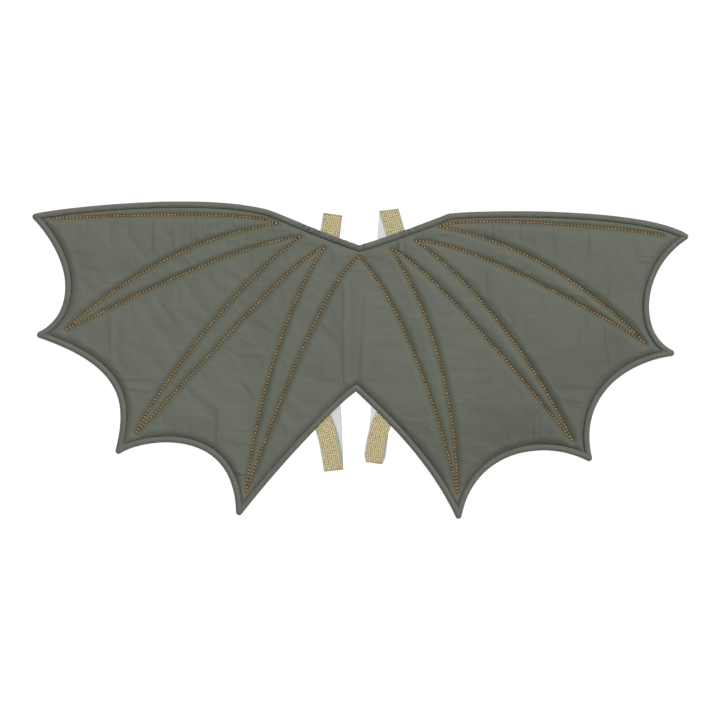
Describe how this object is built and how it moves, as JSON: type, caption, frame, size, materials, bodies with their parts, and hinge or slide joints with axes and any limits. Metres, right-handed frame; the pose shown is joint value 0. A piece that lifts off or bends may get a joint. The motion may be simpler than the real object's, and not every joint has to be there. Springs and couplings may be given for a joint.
{
  "type": "dragon wings",
  "caption": "Quilted cloth wings with scalloped lower edges, a filled piping round the edge and elastic arm loops behind.",
  "frame": {"origin": "on the floor under the middle of the wings, which lie face up", "axes": "+X along the span towards the wearer's right, +Y towards the neck, +Z out of the wearer's back"},
  "size_m": [0.8498, 0.4112, 0.0136],
  "materials": {
    "wing_cloth": "satin",
    "piping_cloth": "satin",
    "elastic": "metallic thread",
    "elastic_back": "matt",
    "gold_thread": "satin"
  },
  "bodies": {
    "root": {"wing_panel": "wing_cloth", "edge_piping": "piping_cloth", "strap_left": "elastic", "strap_right": "elastic"}
  },
  "joints": []
}
